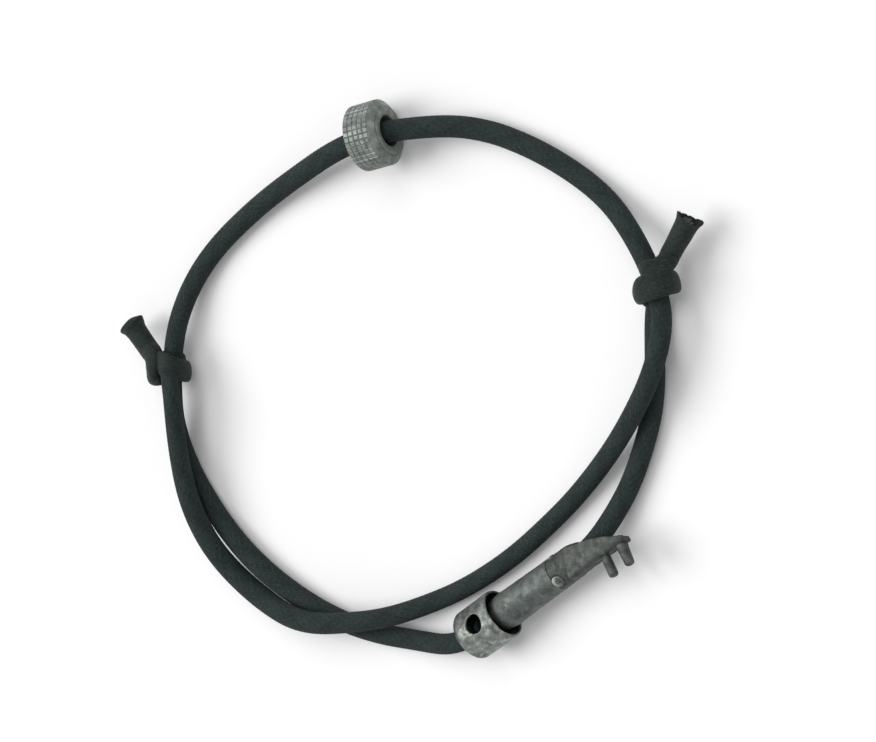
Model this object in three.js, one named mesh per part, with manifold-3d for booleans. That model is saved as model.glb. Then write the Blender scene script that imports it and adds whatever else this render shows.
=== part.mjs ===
// An adjustable wrist loop of round braided cord, lying on a table: two sliding knots, a knurled
// ring threaded on its upper arc, and a swivelling metal fitting threaded on its lower strand.
// Units are millimetres. +Z is up, z = 0 is the table, and the origin is the middle of the loop's
// outline on the table.
import * as THREE from 'three';
import { mergeVertices } from 'three/addons/utils/BufferGeometryUtils.js';
import Module from 'manifold-3d';

const wasm = await Module();
wasm.setup();

// ---------- driving dimensions ----------

// cord
const cordRadius = 1.5;
const cordSides = 8;
const cordClearance = 0.35; // round the cord, inside every piece that slides on it
const jointGap = 0.2; // between metal pieces that meet or run in each other
const faceGap = 0.3; // between the ends of two strands that meet

// knots: two turns of cord pulled tight round the strand that slides through them
const wrapThickness = 1.5; // a turn is squashed flat in the knot
const wrapSpacing = 1.05; // each turn's distance from the knot's middle, along the strand
const wrapHalfWidth = 1.45; // of one turn, along the strand
const wrapTilt = 11; // degrees, one turn leaning each way
const lobeRadius = 1.75; // where a strand or a tail goes into the knot

// loose ends of the two knots
const tailTipRadius = 1.8; // melted blob on the left end
const frayRadius = 1.75; // opened braid on the right end
const frayDepth = 1.1; // over which the braid opens out
const frayRim = 0.35; // thickness of the opened braid
const coreRadius = 0.9; // rubber strands inside the braid
const coreLength = 1.4;
const coreRound = 0.25; // rounded front of the core
const coreRecess = 0.25; // how far the core lies behind the braid's rim

// knurled ring
const ringRadius = 4.75;
const ringWidth = 4.6;
const ringChamfer = 0.5; // along the axis, from the knurl down to the face
const knurlTeeth = 36;
const knurlDepth = 0.28;
const bushRadius = 3.3; // plain bush inside the knurled ring
const ringWall = 0.25; // flat rim between the chamfer and the bush
const bushLip = 0.15; // how far the bush stands out of each face
const ringClearance = 0.7; // round the cord, so that the ring rolls freely on it
const cordSag = 0.35; // how far the cord lies below the middle of the bore

// fitting: cup-shaped head
const headRadius = 3.8;
const headLength = 7.15;
const headWall = 0.6;
const headFloor = 1.0;
const headCorner = 1.05;
const mouthChamfer = 0.35; // inside the mouth's rim
const mouthEdge = 0.12; // outside it
const crossHoleRadius = 1.3;
const crossHoleAt = 4.05;
const crossHoleAngle = 108; // degrees round the axis, 90 is straight up

// fitting: eyelet in the head's floor
const eyeletWall = 0.35;
const eyeletLip = 0.4;
const eyeletFlange = 0.25;
const eyeletInset = 0.1; // its mouth lies this far inside the head's end

// fitting: barrel with its collar, held in the head by a retaining ring
const barrelRadius = headRadius * 0.618;
const barrelWall = 0.45;
const barrelBore = barrelRadius - barrelWall;
const collarThickness = 0.4;
const collarClearance = 0.3; // between the collar and the head's bore
const retainerThickness = 0.35;
const retainerFit = 0.1; // round the retaining ring, in the head's bore
const seamAt = 18.2; // where the front tube meets the rear casting
const rearStep = 0.1; // the rear casting is this much larger in radius
const rearRadius = barrelRadius + rearStep;

// fitting: rear casting with its flattened arm and two pins
const tubeEnd = 21.8;
const armStart = 21.0;
const armEnd = 31.3;
const armNose = 0.5; // the pins' side reaches this much further
const armTop = 2.75; // height of the flat over the axis
const armPlate = 0.85; // thickness of the flat
const armInner = 1.95; // side wall, from the axis
const armOuter = 2.8;
const armFoot = 0.45; // lower edge of the side wall, over the axis
const armEdge = [
  [armStart, 1.9], [22.6, 1.5], [24.5, 0.97], [26.5, 0.5], [28.9, -0.4], [armEnd, -1.6],
]; // the flat's tapering edge: along the fitting, and across it from the axis
const armRoll = -20.4; // degrees the arm is rolled about the fitting's axis
const pinRadius = 0.7;
const pinReach = 5.5; // pin tip, from the axis
const pinHeight = 1.3; // pin axis over the fitting's axis
const pinPlaces = [27.15, 30.3];
const pinRound = 0.22; // rounded tip
const pinStem = 0.4; // thinner end in the side wall
const pinGap = 0.15; // round the stem, and between the pin's shoulder and the wall
const rivetRadius = 0.45;
const rivetProud = 0.12;
const rivetGap = 0.2;
const rivetAngles = [72, 174]; // degrees round the axis

// ---------- places ----------

// Knots, ring and fitting are placed on the cord's route. Turns are in degrees about +Z.
const leftKnot = { at: [-39.6, -1.0, 3.4], turn: -5.2 };
const rightKnot = { at: [40.3, 16.1, 4.6], turn: 15.5 };
const ringPlace = { at: [-2.6, 35.7, ringRadius], turn: 15.1 };
const fittingPlace = { at: [8.17, -37.15, headRadius], turn: 36.6 };

// The route of the cord, strand by strand.
const ringCordHeight = ringRadius - cordSag;
const topArcRoute = [
  [-39.85, -6.8, 3.3], [-39.8, -5.8, 3.4], [-39.5, -0.5, 3.4], [-38.5, 5.2, 3.3],
  [-36.2, 11.5, 2.2], [-32.4, 16.9, 1.6], [-27.3, 21.6, 1.6], [-21.7, 25.8, 1.9],
  [-15.5, 29.6, 3.0], [-9.8, 32.8, ringCordHeight - 0.2], [-6.3, 34.4, ringCordHeight],
  [-2.6, 35.7, ringCordHeight], [1.2, 36.5, ringCordHeight], [5.0, 36.9, ringCordHeight - 0.2],
  [10.3, 37.0, 2.8], [16.3, 35.7, 1.6],
  [22.4, 33.4, 1.6], [28.0, 30.3, 1.6], [33.2, 26.4, 2.2], [36.3, 23.2, 3.7],
  [38.6, 20.2, 4.5], [40.2, 16.3, 4.6], [40.9, 13.2, 4.55], [40.98, 12.2, 4.5],
];
const outerStrandRoute = [
  [-37.7, -4.6, 6.6], [-37.8, -5.7, 6.6], [-38.0, -8.6, 6.1], [-38.3, -12.2, 5.2],
  [-37.3, -19.5, 4.9], [-34.9, -26.8, 4.0], [-31.1, -32.4, 2.6], [-26.1, -35.3, 2.9],
  [-20.7, -36.7, 4.5], [-15.4, -36.9, 5.1], [-11.7, -36.3, 5.1], [-7.4, -35.7, 4.8],
  [-3.2, -34.7, 3.5], [0.8, -33.2, 2.2], [4.9, -31.4, 1.6], [10.6, -28.0, 1.6],
  [15.7, -24.3, 1.6], [20.1, -20.4, 1.6], [24.3, -16.4, 1.6], [28.3, -12.0, 2.1],
  [32.4, -7.1, 3.3], [36.3, -1.7, 4.9], [39.1, 3.6, 5.0], [40.5, 8.4, 4.7],
  [40.9, 10.8, 4.5], [41.0, 11.9, 4.5],
];
const threadedStrandRoute = [
  [-39.87, -7.1, 3.27], [-39.93, -8.2, 3.1], [-39.9, -11.0, 2.1], [-39.3, -14.3, 1.6],
  [-36.6, -19.5, 1.6], [-32.9, -24.8, 1.6], [-28.4, -29.4, 1.6], [-22.9, -33.3, 1.6],
  [-16.7, -36.4, 1.6], [-13.7, -37.4, 1.6], [-9.7, -38.4, 1.6], [-4.6, -39.0, 1.6],
  [-0.2, -39.0, 1.9], [3.4, -38.9, 3.0], [6.7, -37.9, headRadius - 0.1],
  [8.9, -36.6, headRadius], [14.1, -32.7, headRadius], [20.5, -28.0, headRadius],
  [26.5, -23.5, headRadius], [29.1, -21.0, headRadius - 0.4],
  [31.1, -17.7, 2.6], [32.3, -15.8, 1.8], [34.0, -12.4, 1.6], [35.8, -8.0, 1.6],
  [37.5, -2.5, 1.6], [38.2, 3.2, 1.6], [38.3, 8.0, 1.6], [38.4, 12.6, 1.6],
];
const leftTailRoute = [[-43.1, 2.1, 4.3], [-44.4, 3.9, 4.1], [-45.7, 5.7, 3.8]];
const rightTailRoute = [[42.8, 20.6, 4.5], [44.4, 23.2, 4.4], [46.0, 25.8, 4.3]];

// Where a stub of the tied strand and a stub of the tail start inside each knot.
const leftKnotRoots = { strand: [-38.0, -0.7, 6.0], tail: [-41.3, -0.3, 4.6] };
const rightKnotRoots = { strand: [39.0, 15.6, 2.2], tail: [41.3, 17.9, 4.7] };

// ---------- finishes ----------

const finish = {
  cord: { color: 0x26302f, roughness: 0.85, metalness: 0 },
  core: { color: 0x4a423c, roughness: 0.8, metalness: 0 },
  castMetal: { color: 0x7e837c, roughness: 0.55, metalness: 0.85 },
  brightMetal: { color: 0xa9aca3, roughness: 0.45, metalness: 0.9 },
  darkMetal: { color: 0x4c504d, roughness: 0.5, metalness: 0.85 },
};

// ---------- helpers ----------

const part = new THREE.Group();
const deg = THREE.MathUtils.degToRad;
const tau = Math.PI * 2;

function addPiece(parent, name, geometry, look) {
  const mesh = new THREE.Mesh(geometry, new THREE.MeshStandardMaterial(look));
  mesh.name = name;
  parent.add(mesh);
  return mesh;
}

function closedSolid(geometry) {
  const bare = geometry.clone();
  bare.deleteAttribute('normal');
  bare.deleteAttribute('uv');
  const merged = mergeVertices(bare, 1e-4);
  return new wasm.Manifold(new wasm.Mesh({
    numProp: 3,
    vertProperties: new Float32Array(merged.attributes.position.array),
    triVerts: new Uint32Array(merged.index.array),
  }));
}

function geometryOf(manifold) {
  const mesh = manifold.getMesh();
  const geometry = new THREE.BufferGeometry();
  geometry.setAttribute('position', new THREE.BufferAttribute(mesh.vertProperties, 3));
  geometry.setIndex(new THREE.BufferAttribute(mesh.triVerts, 1));
  return geometry;
}

function joined(geometries) {
  return geometries.map(closedSolid).reduce((whole, next) => whole.add(next));
}

function cut(body, tools) {
  return tools.reduce((whole, tool) => whole.subtract(closedSolid(tool)), body);
}

// A round bar that follows a route.
function sweep(route, radius, sides, steps) {
  const line = new THREE.CatmullRomCurve3(route.map((p) => new THREE.Vector3(...p)));
  const section = new THREE.Shape();
  for (let i = 0; i < sides; i += 1) {
    const a = tau * i / sides;
    if (i === 0) {
      section.moveTo(radius * Math.cos(a), radius * Math.sin(a));
    } else {
      section.lineTo(radius * Math.cos(a), radius * Math.sin(a));
    }
  }
  section.closePath();
  return new THREE.ExtrudeGeometry(section, { extrudePath: line, steps, bevelEnabled: false });
}

// A shape turned about the X axis; the profile lists [x, radius] and closes on itself or
// starts and ends on the axis.
function turned(profile, segments = 32) {
  const points = profile.map(([x, radius]) => new THREE.Vector2(radius, x));
  const geometry = new THREE.LatheGeometry(points, segments);
  geometry.rotateZ(-Math.PI / 2);
  return geometry;
}

// The closed profile of a plain sleeve between two places along X.
function sleeve(from, to, inner, outer) {
  return [[from, inner], [from, outer], [to, outer], [to, inner], [from, inner]];
}

function placed(place) {
  const group = new THREE.Group();
  group.position.set(...place.at);
  group.rotation.z = deg(place.turn);
  part.add(group);
  return group;
}

// ---------- cord ----------

function addCord() {
  const strands = [
    ['cord_top_arc', topArcRoute, 30],
    ['cord_outer_strand', outerStrandRoute, 26],
    ['cord_threaded_strand', threadedStrandRoute, 34],
  ];
  for (const [name, route, steps] of strands) {
    addPiece(part, name, sweep(route, cordRadius, cordSides, steps), finish.cord);
  }
}

// ---------- knots ----------

// The path that a knot's bore leaves open for the strand: a bar a little thicker than the cord.
function strandSpace(route) {
  return sweep(route, cordRadius + cordClearance, 12, 10);
}

function wrapTurn(along, tilt) {
  const middle = cordRadius + cordClearance / 2 + wrapThickness / 2;
  const turn = new THREE.TorusGeometry(middle, wrapThickness / 2 + cordClearance / 2, 8, 20);
  turn.scale(1, 1, wrapHalfWidth / (wrapThickness / 2 + cordClearance / 2));
  turn.rotateX(Math.PI / 2);
  turn.rotateX(deg(tilt));
  turn.translate(0, along, 0);
  return turn;
}

// A stub from inside a knot to just short of the end of the strand that goes on from there.
function stub(root, end, next) {
  const face = new THREE.Vector3(...end);
  const back = face.clone().sub(new THREE.Vector3(...next)).normalize();
  const stop = face.clone().addScaledVector(back, faceGap);
  const straight = stop.clone().addScaledVector(back, faceGap);
  return sweep([root, straight.toArray(), stop.toArray()], cordRadius, cordSides, 4);
}

function lobe(at) {
  const ball = new THREE.SphereGeometry(lobeRadius, 12, 8);
  ball.translate(...at);
  return ball;
}

function addKnot(name, place, roots, strandEnd, tailEnd, route) {
  const turns = [wrapTurn(-wrapSpacing, wrapTilt), wrapTurn(wrapSpacing, -wrapTilt)];
  const toRow = new THREE.Matrix4().makeRotationZ(deg(place.turn)).setPosition(...place.at);
  turns.forEach((turn) => turn.applyMatrix4(toRow));
  const lumps = [
    ...turns,
    lobe(roots.strand),
    lobe(roots.tail),
    stub(roots.strand, ...strandEnd),
    stub(roots.tail, ...tailEnd),
  ];
  addPiece(part, name, geometryOf(cut(joined(lumps), [strandSpace(route)])), finish.cord);
}

function addKnots() {
  addKnot('left_knot', leftKnot, leftKnotRoots, outerStrandRoute.slice(0, 2),
    leftTailRoute.slice(0, 2), topArcRoute.slice(0, 6));
  addKnot('right_knot', rightKnot, rightKnotRoots, threadedStrandRoute.slice(-2).reverse(),
    rightTailRoute.slice(0, 2), topArcRoute.slice(-7));
}

// ---------- loose ends ----------

// A melted end: the cord, then a blob a little wider than it.
function addLeftTail() {
  const tip = new THREE.SphereGeometry(tailTipRadius, 12, 8);
  tip.scale(1, 1, 0.85);
  tip.translate(...leftTailRoute.at(-1));
  const bar = sweep(leftTailRoute, cordRadius, cordSides, 4);
  addPiece(part, 'left_tail', geometryOf(joined([bar, tip])), finish.cord);
}

// A cut end: the braid opens out round a core that lies a little behind its rim.
function addRightTail() {
  const tip = new THREE.Vector3(...rightTailRoute.at(-1));
  const heel = new THREE.Vector3(...rightTailRoute[0]);
  const length = tip.distanceTo(heel);
  const group = new THREE.Group();
  group.position.copy(heel);
  group.quaternion.setFromUnitVectors(new THREE.Vector3(1, 0, 0), tip.clone().sub(heel).normalize());
  part.add(group);
  const front = length - coreRecess;
  const heelOfCore = front - coreLength;
  const socket = heelOfCore - faceGap;
  const pocket = coreRadius + 1.25 * jointGap;
  addPiece(group, 'right_tail', turned([
    [0, 0], [0, cordRadius], [length - frayDepth, cordRadius], [length, frayRadius],
    [length, frayRadius - frayRim], [socket, pocket], [socket, 0],
  ], 16), finish.cord);
  addPiece(group, 'right_tail_core', turned([
    [heelOfCore, 0], [heelOfCore, coreRadius], [front - coreRound, coreRadius],
    [front, coreRadius - coreRound], [front, 0],
  ], 12), finish.core);
}

// ---------- knurled ring ----------

// A gear-like outline: one flat-topped ridge for each tooth of the knurl.
function knurlOutline() {
  const outline = new THREE.Shape();
  const step = tau / knurlTeeth;
  for (let i = 0; i < knurlTeeth; i += 1) {
    [[0, -knurlDepth], [0.25, 0], [0.75, 0]].forEach(([share, rise], k) => {
      const a = (i + share) * step;
      const r = ringRadius + rise;
      if (i === 0 && k === 0) {
        outline.moveTo(r * Math.cos(a), r * Math.sin(a));
      } else {
        outline.lineTo(r * Math.cos(a), r * Math.sin(a));
      }
    });
  }
  outline.closePath();
  return outline;
}

function addRing() {
  const group = placed(ringPlace);
  const half = ringWidth / 2;
  const shoulder = half - ringChamfer;
  const root = ringRadius - knurlDepth;
  const hole = bushRadius + jointGap;
  const band = new THREE.ExtrudeGeometry(knurlOutline(), {
    depth: 2 * shoulder,
    steps: 1,
    bevelEnabled: false,
  });
  band.translate(0, 0, -shoulder);
  band.rotateY(Math.PI / 2);
  const body = turned([
    [-half, 0], [-half, hole + ringWall], [-shoulder, root], [shoulder, root],
    [half, hole + ringWall], [half, 0],
  ]);
  const bore = turned([[-ringWidth, 0], [-ringWidth, hole], [ringWidth, hole], [ringWidth, 0]]);
  addPiece(group, 'knurled_ring', geometryOf(cut(joined([band, body]), [bore])), finish.castMetal);
  const bush = sleeve(-half - bushLip, half + bushLip, cordRadius + ringClearance, bushRadius);
  addPiece(group, 'ring_bush', turned(bush), finish.brightMetal);
}

// ---------- fitting ----------

// The cross hole's cutting tool: a bar right across the axis.
function crossHole() {
  const bar = new THREE.CylinderGeometry(crossHoleRadius, crossHoleRadius, headRadius * 3, 20);
  bar.rotateX(deg(180 - crossHoleAngle));
  bar.translate(crossHoleAt, 0, 0);
  return bar;
}

function addHead(group) {
  const bore = headRadius - headWall;
  const inner = cordRadius + cordClearance;
  const outer = inner + eyeletWall;
  const hole = outer + jointGap;
  const corner = [];
  for (let i = 0; i <= 4; i += 1) {
    const a = Math.PI / 2 * i / 4;
    corner.push([
      headCorner * (1 - Math.cos(a)),
      headRadius - headCorner * (1 - Math.sin(a)),
    ]);
  }
  const cup = turned([
    [0, hole], ...corner, [headLength - mouthEdge, headRadius],
    [headLength, headRadius - mouthEdge],
    [headLength, bore + mouthChamfer], [headLength - 2 * mouthChamfer, bore],
    [headFloor, bore], [headFloor, hole], [0, hole],
  ], 36);
  const head = cut(closedSolid(cup), [crossHole()]);
  addPiece(group, 'fitting_head', geometryOf(head), finish.brightMetal);

  const seat = headFloor + jointGap;
  addPiece(group, 'cord_eyelet', turned([
    [eyeletInset, inner], [eyeletInset, outer], [seat, outer], [seat, outer + eyeletLip],
    [seat + eyeletFlange, outer + eyeletLip], [seat + eyeletFlange, inner], [eyeletInset, inner],
  ], 24), finish.darkMetal);
}

function addBarrel(group) {
  const bore = barrelBore;
  const heel = headFloor + eyeletFlange + 2 * jointGap;
  const collarTo = heel + collarThickness;
  const neck = barrelRadius - jointGap;
  const tube = turned([
    [heel, bore], [heel, neck], [collarTo + jointGap, neck], [collarTo + jointGap, barrelRadius],
    [seamAt, barrelRadius], [seamAt, bore], [heel, bore],
  ]);
  const barrel = cut(closedSolid(tube), [crossHole()]);
  addPiece(group, 'barrel_tube', geometryOf(barrel), finish.castMetal);
  const collarEdge = headRadius - headWall - collarClearance;
  const collar = sleeve(heel, collarTo, barrelRadius, collarEdge);
  addPiece(group, 'swivel_collar', turned(collar), finish.darkMetal);
  const retainerFrom = collarTo + jointGap;
  addPiece(group, 'retaining_ring', turned(sleeve(
    retainerFrom,
    retainerFrom + retainerThickness,
    barrelRadius + jointGap,
    headRadius - headWall - retainerFit,
  )), finish.darkMetal);
}

// A bar square to the axis, just behind the seam, between two distances from the axis.
function rivetBar(angle, radius, from, to) {
  const bar = new THREE.CylinderGeometry(radius, radius, to - from, 12);
  bar.translate(0, (to + from) / 2, 0);
  bar.rotateX(deg(180 - angle));
  bar.translate(seamAt + jointGap + rivetGap + rivetRadius, 0, 0);
  return bar;
}

// The flat's outline: x along the fitting, y across it, negative towards the pins.
function armFlatOutline() {
  const outline = new THREE.Shape();
  const edge = [...armEdge, [armEnd + armNose, -armOuter], [armStart, -armOuter]];
  edge.forEach(([x, y], i) => (i === 0 ? outline.moveTo(x, y) : outline.lineTo(x, y)));
  outline.closePath();
  return outline;
}

// A bar that points at the pins' side, turned from its own profile of [distance, radius].
function pinBar(profile, x) {
  const bar = turned(profile, 16);
  bar.rotateZ(-Math.PI / 2);
  bar.translate(x, 0, pinHeight);
  bar.rotateX(deg(armRoll));
  return bar;
}

function addRearCasting(group) {
  const bore = barrelBore;
  const tube = turned(sleeve(seamAt + jointGap, tubeEnd, bore, rearRadius));
  const flat = new THREE.ExtrudeGeometry(armFlatOutline(), {
    depth: armPlate,
    steps: 1,
    bevelEnabled: false,
  });
  flat.translate(0, 0, armTop - armPlate);
  const wall = new THREE.BoxGeometry(armEnd - armStart, armOuter - armInner, armTop - armFoot);
  wall.translate((armEnd + armStart) / 2, -(armOuter + armInner) / 2, (armTop + armFoot) / 2);
  [flat, wall].forEach((piece) => piece.rotateX(deg(armRoll)));
  const stemHole = [
    [armInner - 1, 0], [armInner - 1, pinStem + pinGap],
    [armOuter + 1, pinStem + pinGap], [armOuter + 1, 0],
  ];
  const tools = [
    turned([[seamAt, 0], [seamAt, bore], [armEnd + 1, bore], [armEnd + 1, 0]]),
    ...rivetAngles.map((angle) => rivetBar(angle, rivetRadius + rivetGap, bore - 1, rearRadius + 1)),
    ...pinPlaces.map((x) => pinBar(stemHole, x)),
  ];
  const casting = cut(joined([tube, flat, wall]), tools);
  addPiece(group, 'rear_casting', geometryOf(casting), finish.castMetal);

  ['seam_rivet_upper', 'seam_rivet_left'].forEach((name, i) => {
    const rivet = rivetBar(rivetAngles[i], rivetRadius, bore, rearRadius + rivetProud);
    addPiece(group, name, rivet, finish.brightMetal);
  });

  const heel = armInner + pinGap;
  const shoulder = armOuter + pinGap;
  ['inner_pin', 'outer_pin'].forEach((name, i) => {
    addPiece(group, name, pinBar([
      [heel, 0], [heel, pinStem], [shoulder, pinStem], [shoulder, pinRadius],
      [pinReach - pinRound, pinRadius], [pinReach, pinRadius - pinRound], [pinReach, 0],
    ], pinPlaces[i]), finish.castMetal);
  });
}

addCord();
addKnots();
addLeftTail();
addRightTail();
addRing();

const fitting = placed(fittingPlace);
addHead(fitting);
addBarrel(fitting);
addRearCasting(fitting);

export default part;
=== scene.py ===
# %% [markdown]
# # A wrist loop of braided cord, with two sliding knots, a knurled ring and a metal fitting
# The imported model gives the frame: every body, every joint and the true size. This lesson dresses
# it. The solids of the cord are plain bars, so each is replaced by a woven sleeve on almost the same line,
# and the metal pieces are remade with soft cast edges. Everything is drawn in millimetres and made
# metres in one last step, because Blender's tools are easier to steer with numbers near one.

# %% Load the frame
import math

import bmesh
import bpy
import numpy as np
from mathutils import Matrix, Vector, noise


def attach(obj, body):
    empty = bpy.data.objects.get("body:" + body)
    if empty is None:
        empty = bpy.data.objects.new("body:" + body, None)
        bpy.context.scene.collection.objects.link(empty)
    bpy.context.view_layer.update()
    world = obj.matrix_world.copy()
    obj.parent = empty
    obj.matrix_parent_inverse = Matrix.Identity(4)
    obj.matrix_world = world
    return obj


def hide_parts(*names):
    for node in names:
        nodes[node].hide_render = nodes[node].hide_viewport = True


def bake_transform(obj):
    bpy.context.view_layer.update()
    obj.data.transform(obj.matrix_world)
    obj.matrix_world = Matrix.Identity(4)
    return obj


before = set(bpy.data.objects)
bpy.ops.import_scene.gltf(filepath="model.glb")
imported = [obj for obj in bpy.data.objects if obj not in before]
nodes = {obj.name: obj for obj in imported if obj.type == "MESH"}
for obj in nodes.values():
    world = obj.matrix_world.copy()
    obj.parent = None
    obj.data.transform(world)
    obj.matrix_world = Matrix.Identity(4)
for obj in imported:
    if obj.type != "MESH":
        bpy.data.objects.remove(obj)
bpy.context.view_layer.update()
MM = 0.001

# %% [markdown]
# ## Camera
# The loop lies on a table and is seen from above and a little to the right. A camera could be aimed
# with a constraint, but the export drops those, so its three axes are worked out and written into
# its matrix. The lens is long, so the loop stays nearly round and the ring is seen half from above.

# %% Camera
tilt = math.radians(31.0)
turn = math.radians(25.0)
camera_distance = 480
camera_aim = Vector((3.4, 1.1, 0.0))
to_camera = Vector((math.sin(tilt) * math.cos(turn), math.sin(tilt) * math.sin(turn), math.cos(tilt)))
slope = Vector((math.cos(tilt) * math.cos(turn), math.cos(tilt) * math.sin(turn), -math.sin(tilt)))
level = Vector((-math.sin(turn), math.cos(turn), 0.0))
camera_right = slope * math.cos(turn) - level * math.sin(turn)
camera_up = slope * math.sin(turn) + level * math.cos(turn)

camera = bpy.data.objects.new("camera", bpy.data.cameras.new("camera"))
bpy.context.scene.collection.objects.link(camera)
camera.data.sensor_width = 36.0
camera.data.lens = 137.94
camera.data.clip_start = 0.01
camera.data.clip_end = 10.0
camera.matrix_world = Matrix.Translation((camera_aim + to_camera * camera_distance) * MM) @ Matrix(
    (camera_right, camera_up, to_camera)).transposed().to_4x4()
bpy.context.scene.camera = camera
print("camera at", [round(x, 3) for x in camera.matrix_world.translation])

# %% [markdown]
# ## The cord's line
# One cord makes the whole loop. It goes up through the left knot and the ring, down through the
# right knot, back round the outside to tie the left knot, and from the other end of that pass it
# runs through the fitting to tie the right knot. A few given points are joined by the same
# kind of curve that the solids use, and that curve is cut into even steps, so that the braid keeps
# its scale all the way along.

# %% Lines through points
def smooth_line(points, step):
    """Even steps along a centripetal curve through points, in millimetres."""
    p = np.array(points, float)
    p = np.vstack([2 * p[0] - p[1], p, 2 * p[-1] - p[-2]])
    dense = []
    for a, b, c, d in zip(p[:-3], p[1:-2], p[2:-1], p[3:]):
        t0, t1, t2 = (np.linalg.norm(y - x) ** 0.5 for x, y in ((a, b), (b, c), (c, d)))
        m1 = ((b - a) / t0 - (c - a) / (t0 + t1) + (c - b) / t1) * t1
        m2 = ((c - b) / t1 - (d - b) / (t1 + t2) + (d - c) / t2) * t1
        t = np.linspace(0, 1, 60, endpoint=False)[:, None]
        dense.append(b + m1 * t + (3 * (c - b) - 2 * m1 - m2) * t**2 + (2 * (b - c) + m1 + m2) * t**3)
    dense = np.vstack([*dense, p[-2:-1]])
    along = np.concatenate([[0], np.cumsum(np.linalg.norm(np.diff(dense, axis=0), axis=1))])
    even = np.linspace(0, along[-1], max(8, round(along[-1] / step)) + 1)
    return np.column_stack([np.interp(even, along, dense[:, i]) for i in range(3)]), even


top_arc_route = [
    (-39.5, -0.5, 3.4), (-38.5, 5.2, 3.3),
    (-36.2, 11.5, 2.2), (-32.4, 16.9, 1.6), (-27.3, 21.6, 1.6), (-21.7, 25.8, 1.9),
    (-15.5, 29.6, 3.0), (-9.8, 32.8, 4.2), (-6.3, 34.4, 4.4), (-2.6, 35.7, 4.4),
    (1.2, 36.5, 4.4), (5.0, 36.9, 4.2), (10.3, 37.0, 2.8), (16.3, 35.7, 1.6),
    (22.4, 33.4, 1.6), (28.0, 30.3, 1.6), (33.2, 26.4, 2.2), (36.3, 23.2, 3.7),
    (38.6, 20.2, 4.5), (40.2, 16.3, 4.6),
]
outer_strand_route = [
    (-38.6, -0.2, 5.8), (-38.2, -1.9, 6.3),
    (-37.7, -4.6, 6.6), (-37.8, -5.7, 6.6), (-38.0, -8.6, 6.1), (-38.3, -12.2, 5.2),
    (-37.3, -19.5, 4.9), (-34.6, -26.6, 4.0), (-30.7, -32.0, 2.7), (-25.95, -35.05, 3.0),
    (-20.7, -36.7, 4.5), (-15.4, -36.9, 5.1), (-11.7, -36.3, 5.1), (-7.4, -35.7, 4.8),
    (-3.2, -34.7, 3.5), (0.8, -33.2, 2.2), (4.9, -31.4, 1.6), (10.6, -28.0, 1.6),
    (15.7, -24.3, 1.6), (20.1, -20.4, 1.6), (24.3, -16.4, 1.6), (28.3, -12.0, 2.1),
    (32.4, -7.1, 3.3), (36.3, -1.7, 4.9), (39.1, 3.6, 5.0), (40.5, 8.4, 4.7),
    (40.9, 10.8, 4.5), (41.0, 11.9, 4.5), (40.9, 13.2, 4.55), (40.2, 16.0, 4.6),
]
threaded_strand_route = [
    (-39.5, -0.4, 3.4), (-39.8, -5.8, 3.4), (-39.85, -6.8, 3.3),
    (-39.87, -7.1, 3.27), (-39.93, -8.2, 3.1), (-39.9, -11.0, 2.1), (-39.3, -14.3, 1.6),
    (-36.6, -19.5, 1.62), (-32.9, -24.8, 1.67), (-28.4, -29.4, 1.7), (-22.9, -33.3, 1.65),
    (-16.7, -36.4, 1.6), (-13.7, -37.4, 1.6), (-9.7, -38.4, 1.6), (-4.6, -39.0, 1.6),
    (-0.2, -39.0, 1.9), (3.4, -38.9, 3.0), (6.7, -37.9, 3.7), (8.9, -36.6, 3.8),
    (14.1, -32.7, 3.8), (20.5, -28.0, 3.8), (26.5, -23.5, 3.8), (29.1, -21.0, 3.4),
    (31.1, -17.7, 2.6), (32.3, -15.8, 1.8), (34.0, -12.4, 1.6), (35.8, -8.0, 1.6),
    (37.5, -2.5, 1.6), (38.2, 3.2, 1.6), (38.3, 8.0, 1.6), (38.4, 12.6, 1.6),
    (38.9, 14.2, 1.9),
]
for name, route in (("top arc", top_arc_route), ("outer strand", outer_strand_route),
                    ("threaded strand", threaded_strand_route)):
    print(name, round(smooth_line(route, 0.2)[1][-1], 1), "mm")

# %% [markdown]
# ## The braid
# The sleeve of an elastic cord is woven from yarns that run round it both ways and pass over and
# under each other, so each place where a yarn lies on top is a small pillow. A bump map alone would
# vanish in the outline and in the printed shape, so the pillows are real. A flat grid is rolled
# round the line like a sheet of paper, and each point is lifted by the weave. The grid's own
# coordinates become the UV map: U counts once round the cord, V counts the yarns' turns along it.

# %% Roll a woven sleeve
cord_radius = 1.5
yarns = 20  # in each direction
lay = 15.5  # millimetres of cord for one turn of a yarn
pillow = 0.05  # how far a yarn stands out
sides = 100
step = 0.155


def weave(u, v):
    """Height of the braid, 0 to 1, at turns round the cord u and lays along it v."""
    a, b = yarns * (u + v), yarns * (u - v)
    over = (np.floor(a) + np.floor(b)) % 2 < 1
    across = np.where(over, a, b) % 1
    length = np.where(over, b, a) % 1
    return np.sin(math.pi * across) ** 0.6 * (0.55 + 0.45 * np.sin(math.pi * length))


def headings(centres):
    """The direction of the line at each step."""
    ahead = np.gradient(centres, axis=0)
    return ahead / np.linalg.norm(ahead, axis=1)[:, None]


def square_to(ahead, outs):
    """The part of each out direction that is square to the line, one unit long."""
    outs = outs - ahead * np.sum(ahead * outs, axis=1)[:, None]
    return outs / np.linalg.norm(outs, axis=1)[:, None]


def carried(ahead, first_out):
    """One direction square to the line, carried along it without twisting."""
    outs = [np.array(first_out, float)]
    for t in ahead:
        outs.append(square_to(t[None], outs[-1][None])[0])
    return np.array(outs[1:])


def put_in_scene(name, bm):
    mesh = bpy.data.meshes.new(name)
    bm.to_mesh(mesh)
    bm.free()
    piece = bpy.data.objects.new(name, mesh)
    bpy.context.scene.collection.objects.link(piece)
    return piece


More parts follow.
